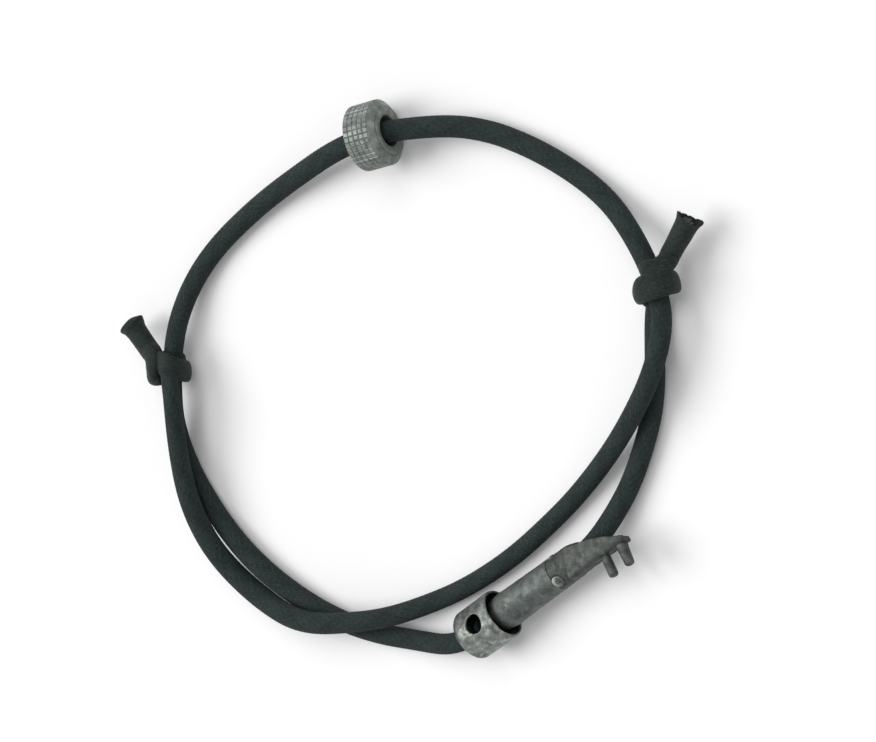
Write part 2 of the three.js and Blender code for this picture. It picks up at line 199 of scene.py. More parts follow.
def new_piece(name, bm):
    """Put a bmesh that was drawn in millimetres into the scene, in metres."""
    bm.normal_update()
    bmesh.ops.scale(bm, vec=(MM, MM, MM), verts=bm.verts)
    return put_in_scene(name, bm)


def shade(bm):
    for face in bm.faces:
        face.smooth = True


def close_ends(bm):
    """Cap every open loop with a fan of triangles."""
    rim = [e for e in bm.edges if e.is_boundary]
    caps = bmesh.ops.holes_fill(bm, edges=rim, sides=0)["faces"]
    bmesh.ops.poke(bm, faces=caps)


def roll_sleeve(name, centres, outs, half_out, half_side, relief=pillow, squash=1, ahead=None, shift=None):
    """A woven sleeve round a line. half_out and half_side are its radii towards outs and across.

    squash below 1 makes the section flatter on its four sides. shift takes the turns round the cord
    and the row numbers, and gives how far each point is pushed outwards and how far ahead.
    """
    count = len(centres)
    half_out, half_side = np.broadcast_to(half_out, count), np.broadcast_to(half_side, count)
    ahead = headings(centres) if ahead is None else ahead
    across = np.cross(ahead, outs)
    u, rows = np.arange(sides)[None, :] / sides, np.arange(count)[:, None]
    rise = relief * (weave(u, rows * step / lay) - 0.5)
    push, reach = shift(u, rows) if shift else (0, 0)
    rise, reach = rise + push, np.broadcast_to(reach, rise.shape)
    around = 2 * math.pi * u
    outwards, sideways = (np.sign(x) * np.abs(x) ** squash for x in (np.cos(around), np.sin(around)))
    skin = (centres[:, None, :] + ahead[:, None, :] * reach[:, :, None]
            + outs[:, None, :] * (outwards * (half_out[:, None] + rise))[:, :, None]
            + across[:, None, :] * (sideways * (half_side[:, None] + rise))[:, :, None])
    bm = bmesh.new()
    bm.loops.layers.uv.new("UVMap")
    bmesh.ops.create_grid(bm, x_segments=sides, y_segments=count - 1, size=0.5, calc_uvs=True)
    uv = bm.loops.layers.uv.active
    for face in bm.faces:
        for loop in face.loops:
            loop[uv].uv.y *= (count - 1) * step / lay
    for vert in bm.verts:
        row, side = round((vert.co.y + 0.5) * (count - 1)), round((vert.co.x + 0.5) * sides)
        vert.co = skin[row, side % sides]
    bmesh.ops.remove_doubles(bm, verts=bm.verts, dist=1e-5)
    close_ends(bm)
    bmesh.ops.recalc_face_normals(bm, faces=bm.faces)
    shade(bm)
    return new_piece(name, bm)


# %% [markdown]
# ## Three strands
# The cord is a little thinner where it is pulled tight on the lower right, and fuller on the right
# of the arc and at the lower left. Its line is eased first, which takes out the small kinks between
# points. The arc rides on the loop. Where the threaded strand runs inside the fitting it is painted
# black, as shade, and an attribute marks that.

# %% Strands
table_gap = 0.1  # the braid's crests stand out, so the cord's middle lies a little higher


def clamped(value):
    """The value, kept between 0 and 1."""
    return min(1.0, max(0.0, value))


def ease(centres, reach=3.0):
    """Take small kinks out of a line without shrinking its curves or moving its ends."""
    half = int(3 * reach / step)
    weights = np.exp(-0.5 * (np.arange(-half, half + 1) * step / reach) ** 2)
    weights /= weights.sum()

    def blurred(line):
        before, after = 2 * line[0] - line[half:0:-1], 2 * line[-1] - line[-2:-half - 2:-1]
        padded = np.concatenate([before, line, after])
        return np.stack([np.convolve(padded[:, axis], weights, "valid") for axis in range(3)], axis=1)

    once = blurred(centres)
    return 2 * once - blurred(once)


def strand(name, route, node, radii):
    centres, along = smooth_line(route, step)
    centres = ease(centres)
    outs = carried(headings(centres), (0, 0, 1))
    radius = np.interp(along / along[-1], np.linspace(0, 1, len(radii)), radii)
    centres[:, 2] = np.maximum(centres[:, 2], radius + table_gap)
    piece = roll_sleeve(name, centres, outs, radius, radius)
    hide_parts(node)
    print(name, round(along[-1], 1), "mm,", len(piece.data.polygons), "faces")
    return piece


top_arc = strand("top_arc", top_arc_route, "cord_top_arc", [1.4, 1.46, 1.5, 1.52, 1.55, 1.52, 1.4])
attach(top_arc, "cord_loop")
outer_strand = strand("outer_strand", outer_strand_route, "cord_outer_strand",
                      [1.25, 1.5, 1.7, 1.48, 1.4, 1.38, 1.4, 1.45])
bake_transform(outer_strand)
threaded_strand = strand("threaded_strand", threaded_strand_route, "cord_threaded_strand",
                         [1.4, 1.46, 1.52, 1.6, 1.54, 1.5, 1.5, 1.5, 1.5, 1.48, 1.45, 1.45, 1.15])
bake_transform(threaded_strand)

fitting_at, fitting_turn = Vector((8.17, -37.15, 3.8)), math.radians(36.6)
fitting_along = Vector((math.cos(fitting_turn), math.sin(fitting_turn), 0))
# Painted shade: where the threaded strand runs inside the fitting it is painted black, as the dark of the
# fitting's hole.
shaded_start, shaded_fade, shaded_end = 2.9, 0.4, 19.0  # along the fitting
shaded = threaded_strand.data.attributes.new("grime_and_shade", "FLOAT", "POINT")
for vert, mark in zip(threaded_strand.data.vertices, shaded.data):
    inside = (vert.co / MM - fitting_at).dot(fitting_along)
    mark.value = clamped((inside - shaded_start) / shaded_fade) * (inside < shaded_end)
print("greasy inside the fitting:", sum(m.value > 0 for m in shaded.data), "points")

# %% [markdown]
# ## Two sliding knots
# Each knot is the same cord, tied round the strand that slides through it: the end comes up beside
# that strand, turns round it, crosses over itself and leaves as a short tail. A torus would look
# like a washer, so the knot is the cord's own line, drawn in the knot's frame: to the side, up from
# the strand, and along it. Pulled tight, the cord is squashed flat against what it wraps, so each
# point also has two radii, thin towards the strand and wide along it.

# %% Tie a knot
tail_radius = 1.07 * cord_radius  # a loose end swells a little
knot_relief = 0.04  # pulled tight, the yarns stand out less


def knot_frame(at, turn_degrees):
    """From a knot's own side, up and along to the loop's frame, in millimetres."""
    return Matrix.Translation(at) @ Matrix.Rotation(math.radians(turn_degrees), 4, "Z")


def tied_line(frame_matrix, turns, tail):
    """The line, flat direction and radii of a cord that wraps a strand and leaves as a tail."""
    points = [tuple(frame_matrix @ Vector((side, ahead, up))) for side, up, ahead, *_ in turns]
    centres, along = smooth_line(points + tail, step)
    marks = [int(np.argmin(np.linalg.norm(centres - np.array(p), axis=1))) for p in points]
    marks = np.maximum.accumulate(marks)
    spots = list(along[marks]) + [along[-1]]
    half_out = np.interp(along, spots, [row[3] for row in turns] + [tail_radius])
    half_side = np.interp(along, spots, [row[4] for row in turns] + [tail_radius])
    inverse, turned = frame_matrix.inverted(), frame_matrix.to_3x3()
    outs = []
    for i, p in enumerate(centres):
        local = inverse @ Vector(p)
        outs.append(turned @ Vector((local.x, 0, local.z)) if i <= marks[-1] else outs[-1])
    return centres, along, square_to(headings(centres), np.array(outs)), half_out, half_side


left_frame = knot_frame((-39.6, -1.0, 3.4), -5.2)
left_turns = [  # side, up, along, thin radius, wide radius
    (0.9, 2.1, 0.9, 0.7, 1.2), (1.4, 1.2, 1.4, 0.5, 1.1), (1.55, -0.4, 1.7, 0.45, 1.1),
    (0.7, -1.65, 1.9, 0.45, 1.1), (-0.8, -1.65, 2.0, 0.45, 1.1), (-1.6, -0.3, 2.1, 0.45, 1.1),
    (-1.3, 1.2, 2.2, 0.45, 1.3), (-0.5, 2.5, 2.3, 0.55, 1.65), (0.7, 3.0, 2.1, 0.62, 1.9),
    (1.8, 2.3, 1.6, 0.7, 1.75), (2.1, 0.5, 0.9, 0.75, 1.6), (1.6, -1.6, 0.3, 0.7, 1.6),
    (0.2, -2.4, -0.2, 0.7, 1.5), (-1.7, -1.7, -0.7, 0.8, 1.45), (-2.75, 0.3, -0.7, 0.95, 1.4),
    (-2.1, 1.9, 0.6, 1.0, 1.45), (-1.75, 2.3, 1.9, 1.15, 1.5), (-2.3, 1.6, 2.9, 1.45, 1.55),
]
left_tail_points = [(-42.75, 2.8, 4.3), (-44.3, 4.65, 4.1), (-46.15, 6.9, 3.9)]


def melted(rows):
    """Swell the last of the cord into a blunt, lumpy, melted end."""
    from_tip = (rows - 1 - np.arange(rows)) * step
    swell = 1 + 0.2 * np.exp(-((from_tip - 0.7) / 0.9) ** 2)
    close = np.clip(from_tip / 0.8, 0, 1)
    size = swell * np.maximum(np.sqrt(close * (2 - close)), 0.02)

    def lumps(u, row):
        near = np.exp(-(((rows - 1 - row) * step / 1.1) ** 2))
        turn = 2 * math.pi * u
        return near * (0.15 * np.sin(2 * turn + 0.4 * row) + 0.1 * np.sin(3 * turn - row)), 0

    return size, lumps


def tied_knot(name, node_names, body, line, size=1, **shape):
    centres, along, outs, half_out, half_side = line
    piece = roll_sleeve(name, centres, outs, half_out * size, half_side * size,
                        relief=knot_relief, squash=0.93, **shape)
    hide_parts(*node_names)
    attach(piece, body)
    print(name, round(along[-1], 1), "mm of cord,", len(piece.data.polygons), "faces")
    return piece


left_line = tied_line(left_frame, left_turns, left_tail_points)
left_size, left_lumps = melted(len(left_line[0]))
left_knot = tied_knot("left_knot_cord", ("left_knot", "left_tail"), "left_knot_body", left_line,
                      left_size, shift=left_lumps)

# %% [markdown]
# ## The right knot and its cut end
# The right tail was cut, not melted: its braid opens like a collar with a longer point on each
# side, the rubber strands of the core show inside, and loose fibres stand out. So the sleeve goes
# on past the last point of its line, turns inwards at the rim and comes back inside as a second
# wall, while each column of it is pushed ahead by its own amount.

# %% Right knot
right_frame = knot_frame((40.3, 16.1, 4.6), 15.5)
right_turns = [
    (-2.2, -2.6, -2.2, 1.25, 1.4), (-2.7, -1.2, -1.0, 0.95, 1.3), (-2.5, 0.9, -0.6, 0.8, 1.3),
    (-0.9, 2.4, 0.1, 0.75, 1.8), (1.1, 2.5, 0.35, 0.75, 1.9), (2.5, 1.1, 0.1, 0.8, 1.7),
    (2.3, -1.2, -0.2, 0.75, 1.6), (0.8, -2.3, 0.0, 0.7, 1.5), (-0.8, -2.0, 0.6, 0.6, 1.4),
    (-1.1, -0.2, 1.2, 0.4, 1.3), (-0.2, 1.85, 1.8, 0.5, 1.6), (0.8, 2.5, 2.1, 0.75, 1.9),
    (2.0, 1.9, 2.3, 0.95, 1.55), (3.0, 0.8, 2.9, 1.2, 1.45),
]
right_tail_points = [(42.65, 20.6, 4.6), (44.05, 22.9, 4.5), (45.5, 25.35, 4.4)]
right_line = tied_line(right_frame, right_turns, right_tail_points)
tip = Vector(right_line[0][-1])
tip_ahead = Vector(headings(right_line[0])[-1])
tip_level = tip_ahead.cross(Vector((0, 0, 1))).normalized()
tip_side = Matrix.Rotation(math.radians(35), 3, tip_ahead) @ tip_level
print("longer points at", [round(x, 2) for x in tip_side])
tip_frame = Matrix.Translation(tip) @ Matrix(
    (tip_ahead, tip_side, tip_ahead.cross(tip_side))).transposed().to_4x4()


def cut_open(line, depth_rows=9):
    """Fold the end of a sleeve inwards and give it a ragged rim with two points."""
    centres, _, outs, half_out, half_side = line
    ahead = headings(centres)
    last = len(centres) - 1
    wall_radius = np.linspace(1.42, 1.1, depth_rows)
    inner = centres[-1] - np.outer(np.arange(depth_rows) * step - 0.05, ahead[-1])
    across = np.cross(ahead[-1], outs[-1])

    def rim(u, row):
        near = np.clip(1 - np.abs(row - last) * step / 1.3, 0, 1)
        turn = 2 * math.pi * u
        side = (np.cos(turn)[..., None] * outs[-1] + np.sin(turn)[..., None] * across) @ np.array(tip_side)
        point = np.abs(side) ** 5
        ragged = 0.06 * np.sin(9 * turn + 1) + 0.04 * np.sin(17 * turn)
        flare = near**2 * (0.14 + 0.2 * point)
        return flare, near * (0.55 * point + ragged - 0.1)

    *folded, ahead = (np.concatenate(pair) for pair in (
        (centres, inner), (outs, np.repeat(outs[-1:], depth_rows, 0)), (half_out, wall_radius),
        (half_side, wall_radius), (ahead, np.repeat(ahead[-1:], depth_rows, 0))))
    return folded, dict(ahead=ahead, shift=rim)


folded_line, folded_shape = cut_open(right_line)
right_knot = roll_sleeve("right_knot_cord", *folded_line, relief=knot_relief, squash=0.9, **folded_shape)
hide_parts("right_knot", "right_tail")
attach(right_knot, "right_knot_body")
print("right_knot_cord", round(right_line[1][-1], 1), "mm of cord,",
      len(right_knot.data.polygons), "faces")

# %% [markdown]
# ## Core and loose fibres
# Round parts are made by spinning a profile about an axis, and this helper serves the metal parts
# as well. The core is seven thin rubber bars, set back in the collar by uneven amounts. The fibres
# are small cones that lean outwards round the rim.

# %% Turn a profile about an axis
def turn_profile(bm, profile, steps, closed=False):
    """Spin a profile of (place along X, radius) once round the X axis."""
    verts = [bm.verts.new((x, 0, r)) for x, r in profile]
    edges = [bm.edges.new(pair) for pair in zip(verts, verts[1:])]
    if closed:
        edges.append(bm.edges.new((verts[-1], verts[0])))
    bmesh.ops.spin(bm, geom=verts + edges, cent=(0, 0, 0), axis=(1, 0, 0), dvec=(0, 0, 0),
                   angle=2 * math.pi, steps=steps, use_merge=True, use_duplicate=False)
    bmesh.ops.remove_doubles(bm, verts=bm.verts, dist=1e-4)
    bmesh.ops.recalc_face_normals(bm, faces=bm.faces)


def from_axis(place):
    """How far a place is from the X axis."""
    return math.hypot(*place.yz)


def round_off(bm, edges, offset, segments):
    """Give edges a rounded bevel, and say which vertices it made."""
    return bmesh.ops.bevel(bm, geom=edges, offset=offset, offset_type="OFFSET", segments=segments,
                           profile=0.5, affect="EDGES", material=-1, clamp_overlap=True)["verts"]


draw = np.random.default_rng(11)
fibre_count = 30
core_round = 6  # rubber strands round the one in the middle
bm = bmesh.new()
for angle in np.linspace(0, 2 * math.pi, fibre_count, endpoint=False):
    angle += draw.uniform(-0.08, 0.08)
    point = abs(math.cos(angle)) ** 5
    reach, lean = draw.uniform(0.15, 0.35) + 0.15 * point, draw.uniform(0.0, 0.4)
    outward = Vector((0, math.cos(angle), math.sin(angle)))
    start = outward * (1.5 + 0.15 * point) + Vector((-0.2 + 0.5 * point, 0, 0))
    heading = (Vector((1, 0, 0)) + outward * lean).normalized()
    fibre = bmesh.ops.create_cone(bm, cap_ends=True, segments=5, radius1=0.05, radius2=0.015, depth=reach)
    aim = Vector((0, 0, 1)).rotation_difference(heading).to_matrix().to_4x4()
    stand = Matrix.Translation(start + heading * reach / 2) @ aim
    bmesh.ops.transform(bm, matrix=stand, verts=fibre["verts"])
shade(bm)
bmesh.ops.transform(bm, matrix=tip_frame, verts=bm.verts)
loose_fibres = new_piece("right_tail_fibres", bm)
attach(loose_fibres, "right_knot_body")

bm = bmesh.new()
for i in range(core_round + 1):
    angle, radius = (2 * math.pi * i / core_round, 0.64) if i < core_round else (0, 0)
    bar = bmesh.ops.create_cone(bm, cap_ends=True, segments=12, radius1=0.33, radius2=0.33, depth=1.6)
    bmesh.ops.rotate(bm, verts=bar["verts"], cent=(0, 0, 0), matrix=Matrix.Rotation(math.pi / 2, 3, "Y"))
    place = (-1.0 + draw.uniform(-0.12, 0.12), radius * math.cos(angle), radius * math.sin(angle))
    bmesh.ops.translate(bm, verts=bar["verts"], vec=place)
sharp = [e for e in bm.edges if len(e.link_faces) == 2 and e.calc_face_angle() > 1.0]
round_off(bm, sharp, 0.08, 2)
shade(bm)
bmesh.ops.transform(bm, matrix=tip_frame, verts=bm.verts)
core_strands = new_piece("right_tail_core_strands", bm)
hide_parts("right_tail_core")
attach(core_strands, "right_knot_body")
print("cut end:", fibre_count, "fibres and", core_round + 1, "rubber strands")

# %% [markdown]
# ## The knurled ring
# The ring is a turned sleeve whose outside was rolled with a square knurl. A displacement map would
# round the teeth away, so the ring's whole section is spun in as many steps as the knurl has teeth,
# and each small face of the band is inset and pushed out into its own tooth.

# %% Knurled ring
ring_frame = Matrix.Translation((-2.6, 35.7, 4.75)) @ Matrix.Rotation(math.radians(15.1), 4, "Z")
teeth = 38
rows = 5
ring_start, ring_end = -2.15, 3.05
band_start, band_end = -1.7, 2.35
bore = 3.5
face_radius = 3.75  # where the flat end face meets its slope
root = 4.61
crest = 4.75
half_groove = 0.13  # between two teeth
hair = 0.01  # closer than this counts as the same place

bm = bmesh.new()
band = [(band_start + (band_end - band_start) * i / rows, root) for i in range(rows + 1)]
turn_profile(bm, [(ring_start, bore), (ring_start, face_radius), *band, (ring_end, face_radius),
                  (ring_end, bore)], teeth, closed=True)
middles = [(face, face.calc_center_median()) for face in bm.faces]
cells = [face for face, middle in middles
         if band_start < middle.x < band_end and from_axis(middle) > root - 0.1]
bmesh.ops.inset_individual(bm, faces=cells, thickness=half_groove, depth=crest - root,
                           use_even_offset=True)
print("knurl:", len(cells), "teeth of", round(2 * math.pi * crest / teeth, 2), "mm")
rims = [e for e in bm.edges if all((v.co.x < band_start - hair or v.co.x > band_end + hair)
                                   and from_axis(v.co) > bore + 0.1 for v in e.verts)
        and abs(from_axis(e.verts[0].co) - from_axis(e.verts[1].co)) < hair]
round_off(bm, rims, 0.12, 3)
for face in bm.faces:
    face.smooth = not band_start < face.calc_center_median().x < band_end
bmesh.ops.transform(bm, matrix=ring_frame, verts=bm.verts)
knurled_ring = new_piece("knurled_ring_band", bm)
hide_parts("knurled_ring")
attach(knurled_ring, "ring_body")

bush_start, bush_end = ring_start - 0.02, ring_end + 0.02
bush_radius = bore - hair
bush_bore, bush_mouth = 2.2, 2.35
bm = bmesh.new()
turn_profile(bm, [(bush_start, bush_mouth), (bush_start, bush_radius), (bush_end, bush_radius),
                  (bush_end, bush_mouth), (ring_end - 0.05, 2.23), (ring_end - 0.3, bush_bore),
                  (ring_start + 0.3, bush_bore), (ring_start + 0.05, 2.23)], 64, closed=True)
shade(bm)
bmesh.ops.transform(bm, matrix=ring_frame, verts=bm.verts)
bush = new_piece("ring_inner_bush", bm)
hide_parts("ring_bush")
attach(bush, "bush_body")

# %% [markdown]
# ## The cast fitting
# The fitting's head, barrel and arm are castings that were blasted with beads: every corner is
# soft and the skin is a little uneven. Bevels on a cut body leave long thin faces, so each casting
# is roughed out from plain turned and boxed shapes, cut, and then wrapped in an even skin by the
# voxel Remesh modifier, which rounds every inner and outer corner as a mould would.

# %% Casting helpers
fitting_frame = Matrix.Translation(fitting_at) @ Matrix.Rotation(fitting_turn, 4, "Z")
skin_step = 0.1


def rough_block(name, build):
    """A temporary object in millimetres from a function that fills a bmesh."""
    bm = bmesh.new()
    build(bm)
    return put_in_scene(name, bm)


def wrap(block, title):
    """Wrap a block in an even skin."""
    skin = block.modifiers.new(title, "REMESH")
    skin.mode = "VOXEL"
    skin.voxel_size = skin_step


def cast(name, build, cutters, darkening, smooth, unevenness):
    """Union what build makes, subtract the cutters, and give the result a soft cast skin.

    darkening takes a place on the casting and its distance from the axis, and gives how dark it is painted
    there, mostly as painted shade.
    """
    block = rough_block(name + "_rough", build)
    tools = [rough_block(name + "_cutter", cutter) for cutter in cutters]
    wrap(block, "join")
    for tool in tools:
        cut = block.modifiers.new("cut", "BOOLEAN")
        cut.operation = "DIFFERENCE"
        cut.solver = "EXACT"
        cut.object = tool
    wrap(block, "skin")
    soft = block.modifiers.new("soft", "SMOOTH")
    soft.iterations = smooth
    graph = bpy.context.evaluated_depsgraph_get()
    mesh = bpy.data.meshes.new_from_object(block.evaluated_get(graph))
    bm = bmesh.new()
    bm.from_mesh(mesh)
    bm.normal_update()
    grime_and_shade = bm.verts.layers.float.new("grime_and_shade")
    for vert in bm.verts:
        vert[grime_and_shade] = darkening(vert.co, from_axis(vert.co))
        vert.co += vert.normal * unevenness * noise.fractal(vert.co * 0.9, 0.8, 2.0, 3)
    shade(bm)
    bmesh.ops.transform(bm, matrix=fitting_frame, verts=bm.verts)
    for vert in bm.verts:
        vert.co.z = max(vert.co.z, 0.0)  # nothing sinks into the table
    for old in [block, *tools]:
        bpy.data.objects.remove(old)
    bpy.data.meshes.remove(mesh)
    piece = new_piece(name, bm)
    print(name, len(piece.data.polygons), "faces")
    return piece


def bar_across(bm, angle_degrees, radius, start, end, x):
    """A round bar that points away from the X axis at an angle round it, 90 being straight up."""
    bar = bmesh.ops.create_cone(bm, cap_ends=True, segments=40, radius1=radius, radius2=radius,
                                depth=end - start)["verts"]
    bmesh.ops.translate(bm, verts=bar, vec=(0, 0, (start + end) / 2))
    bmesh.ops.rotate(bm, verts=bar, cent=(0, 0, 0),
                     matrix=Matrix.Rotation(math.radians(90 - angle_degrees), 3, "X"))
    bmesh.ops.translate(bm, verts=bar, vec=(x, 0, 0))


# %% [markdown]
# ## Head and barrel
# The head is a cup with a rounded heel. One hole goes right across it, through the barrel inside as
# well. The barrel is a plain tube; it ends at a seam, where the rear casting starts.

# %% Head and barrel
head_length = 7.15
head_radius = 3.8
head_bore, head_floor, floor_hole = 3.2, 1.0, 2.4
heel = 1.05
heel_curve = [(heel * (1 - math.cos(a)), head_radius - heel * (1 - math.sin(a)))
              for a in np.linspace(0, math.pi / 2, 9)]
tube_bore = 1.92
barrel_end, rear_start = 18.25, 18.22  # the two tubes meet at the seam


def head_cup(bm):
    turn_profile(bm, [(0, floor_hole), *heel_curve, (head_length - 0.25, head_radius),
                      (head_length, head_radius - 0.2), (head_length, 3.5), (head_length - 0.6, head_bore),
                      (head_floor, head_bore), (head_floor, floor_hole)], 96, closed=True)


def cross_hole(bm):
    bar_across(bm, 108, 1.4, -6, 6, 4.05)


def head_darkening(p, radius):
    """Black inside and darker on the far side, both painted shade, and darker on the heel."""
    if radius < 3.45 and p.x < head_length - 0.2:
        return min(1.0, 0.78 + 0.1 * (head_length - p.x))
    return 0.4 * math.exp(-((p.x / 1.1) ** 2)) + 0.3 * clamped((p.y + 1.0) / 3.5)


head = cast("fitting_head_cup", head_cup, [cross_hole], head_darkening, smooth=4, unevenness=0.045)
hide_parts("fitting_head")
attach(head, "head_body")

rivets = (  # name, node, degrees round the axis, place along it, radius
    ("rivet_upper", "seam_rivet_upper", 64, 18.85, 0.95),
    ("rivet_left", "seam_rivet_left", 174, 19.05, 0.55),
)


def rivet_holes(bm):
    for _, _, angle, x, radius in rivets:
        bar_across(bm, angle, radius, 2.15, 3.4, x)


def barrel_tube(bm):
    turn_profile(bm, [(1.65, tube_bore), (1.65, 2.15), (2.25, 2.15), (2.3, 2.3), (6.4, 2.45), (8.5, 2.68),
                      (11.0, 2.6), (14.5, 2.55), (barrel_end, 2.52), (barrel_end, tube_bore)],
                 72, closed=True)


def barrel_shade(p, radius):
    """Painted shade: black inside, and dark where the head covers it."""
    return max(float(radius < 2.15), clamped((7.8 - p.x) / 1.6))


barrel = cast("fitting_barrel_tube", barrel_tube, [cross_hole, rivet_holes], barrel_shade,
              smooth=2, unevenness=0.035)
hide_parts("barrel_tube")
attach(barrel, "barrel_body")

# %% [markdown]
# ## Rear casting
# Behind the seam the tube flattens into an arm: a plate on top that tapers to a blunt nose, and a
# side wall that carries two pins. It is one casting, so the pieces are only pushed into each other
# and the skin melts them together. Two round holes by the seam take the rivets.

# %% Rear casting
arm_roll = Matrix.Rotation(math.radians(-20.4), 4, "X")
arm_start, arm_nose, arm_side = 21.0, 32.1, -2.8
arm_edge = [(arm_start, 1.7), (22.6, 1.45), (24.5, 1.0), (26.5, 0.5), (28.8, -0.4), (31.0, -1.55),
            (arm_nose, -2.0), (arm_nose, arm_side), (arm_start, arm_side)]
plate_foot, plate_thickness = 1.9, 0.85
wall_size, wall_at = (10.9, 0.85, 2.3), (26.45, -2.375, 1.6)


def rear_block(bm):
    turn_profile(bm, [(rear_start, 0), (rear_start, 2.5), (21.6, 2.47), (22.6, 2.3), (23.6, 2.0),
                      (23.6, 0)], 72)
    outline = [bm.verts.new((x, y, plate_foot)) for x, y in arm_edge]
    top = bmesh.ops.extrude_face_region(bm, geom=[bm.faces.new(outline)], use_keep_orig=True)
    top = [v for v in top["geom"] if isinstance(v, bmesh.types.BMVert)]
    bmesh.ops.translate(bm, verts=top, vec=(0, 0, plate_thickness))
    wall = bmesh.ops.create_cube(bm, size=1)["verts"]
    bmesh.ops.scale(bm, verts=wall, vec=wall_size)
    bmesh.ops.translate(bm, verts=wall, vec=wall_at)
    long_edges = [e for e in bm.edges if all(v.co.y < -2.79 and v.co.z > 2.7 for v in e.verts)]
    arm = outline + top + wall
    rounded = round_off(bm, long_edges, 0.75, 4)
    arm = set(v for v in arm if v.is_valid) | set(rounded)
    for vert in arm:  # the plate rises gently out of the tube
        vert.co.z -= 0.45 * clamped((22.4 - vert.co.x) / 1.4) * (vert.co.z > 1.8)
    bmesh.ops.transform(bm, matrix=arm_roll, verts=list(arm))
    bmesh.ops.recalc_face_normals(bm, faces=bm.faces)


def rear_bore(bm):
    turn_profile(bm, [(17, 0), (17, tube_bore), (33, tube_bore), (33, 0)], 64)


def rear_shade(p, radius):
    """Painted shade: black inside, and dark between the pins."""
    between_pins = 0.6 * math.exp(-(((p.x - 29.2) / 0.9) ** 2)) * float(p.y < -2.2)
    return max(float(radius < 2.0 and p.x < 22.0), between_pins)


rear = cast("fitting_rear_casting", rear_block, [rear_bore, rivet_holes], rear_shade,
            smooth=14, unevenness=0.035)
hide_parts("rear_casting")
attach(rear, "barrel_body")

# %% [markdown]
# ## Rivets and pins
# The rivets are closed with a punch, which leaves a raised rim round a dimple. Their metal is
# painted bright, and the dimple and one side of the rim are painted dark, as light and shade.
# Rivets and pins are turned about their own axis and then swung into place.

# %% Rivets and pins
# How dark the painted shade is in the rivets' dimples and on one side of their rims.
rivet_shade = 0.75
for name, node, angle, x, radius in rivets:
    bm = bmesh.new()
    turn_profile(bm, [(2.0, 0), (2.0, 0.98 * radius), (2.43, 0.97 * radius), (2.53, 0.88 * radius),
                      (2.57, 0.74 * radius), (2.53, 0.58 * radius), (2.4, 0.36 * radius), (2.36, 0)], 40)
    shade(bm)
    swing = Matrix.Rotation(math.radians(90 - angle), 4, "X") @ Matrix.Rotation(-math.pi / 2, 4, "Y")
    grime_and_shade = bm.verts.layers.float.new("grime_and_shade")
    inner = [v for v in bm.verts if v.co.x > 2.3 and from_axis(v.co) < 0.5 * radius]
    bmesh.ops.transform(bm, matrix=Matrix.Translation((x, 0, 0)) @ swing, verts=bm.verts)
    for vert in bm.verts:  # the rim is painted bright on the side towards the head and dark on the other side, as light and shade
        facing = (x - vert.co.x) / radius
        vert[grime_and_shade] = rivet_shade * (1.0 if vert in inner else clamped(0.75 - facing))
    bmesh.ops.transform(bm, matrix=fitting_frame, verts=bm.verts)
    rivet = new_piece(name, bm)
    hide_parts(node)
    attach(rivet, "barrel_body")

pin_stand = Matrix.Rotation(-math.pi / 2, 4, "Z")
pin_radius = 0.72
for name, node, x, foot in (("pin_inner", "inner_pin", 27.5, 0.7), ("pin_outer", "outer_pin", 30.65, 0.92)):
    bm = bmesh.new()
    turn_profile(bm, [(2.1, 0), (2.1, foot - 0.1), (2.9, foot), (3.6, 0.5 * (foot + pin_radius)),
                      (5.55, pin_radius), (5.8, 0.64), (5.94, 0.42), (5.98, 0)], 40)
    shade(bm)
    place = Matrix.Translation((x, 0, 1.3))
    bmesh.ops.transform(bm, matrix=fitting_frame @ arm_roll @ place @ pin_stand, verts=bm.verts)
    pin = new_piece(name, bm)
    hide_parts(node)
    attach(pin, "barrel_body")

# %% [markdown]
# ## Small tools for materials
# Each finish is built from a few nodes. A node group is made once for each effect that several
# finishes share, and the shader itself stays in the material.

# %% Node tools
def new_group(name, inputs, outputs):
    """An empty node group with named value inputs and outputs of a given kind."""
    tree = bpy.data.node_groups.new(name, "ShaderNodeTree")
    for title, value in inputs:
        socket = tree.interface.new_socket(name=title, in_out="INPUT", socket_type="NodeSocketFloat")
        socket.default_value = value
    for title in outputs:
        tree.interface.new_socket(name=title, in_out="OUTPUT", socket_type="NodeSocketFloat")
    return tree, tree.nodes.new("NodeGroupInput").outputs, tree.nodes.new("NodeGroupOutput").inputs


def add(tree, kind, **settings):
    made = tree.nodes.new(kind)
    for key, value in settings.items():
        setattr(made, key, value)
    return made


def feed(tree, socket, value):
    """Link a socket to another one, or give it a plain value."""
    if isinstance(value, bpy.types.NodeSocket):
        tree.links.new(value, socket)
    else:
        socket.default_value = value


def wired(tree, made, values):
    """Feed a node's inputs in order, and give its first output."""
    for socket, value in zip(made.inputs, values):
        feed(tree, socket, value)
    return made.outputs[0]


def maths(tree, operation, *values, clamp=False):
    return wired(tree, add(tree, "ShaderNodeMath", operation=operation, use_clamp=clamp), values)


def combine(tree, *places):
    return wired(tree, add(tree, "ShaderNodeCombineXYZ"), places)


def blend_colours(tree, share, low, high):
    made = add(tree, "ShaderNodeMix", data_type="RGBA")
    for title, value in (("Factor", share), ("A", low), ("B", high)):
        socket = [s for s in made.inputs if s.name == title and s.type in ("RGBA", "VALUE") and s.enabled][0]
        feed(tree, socket, value)
    return [s for s in made.outputs if s.enabled][0]


def either(tree, share, first, second):
    made = add(tree, "ShaderNodeMix", data_type="FLOAT")
    for socket, value in zip(made.inputs[:1] + made.inputs[2:4], (share, first, second)):
        feed(tree, socket, value)
    return made.outputs[0]


def ranged(tree, value, from_low, from_high, low, high):
    return wired(tree, add(tree, "ShaderNodeMapRange"), (value, from_low, from_high, low, high))


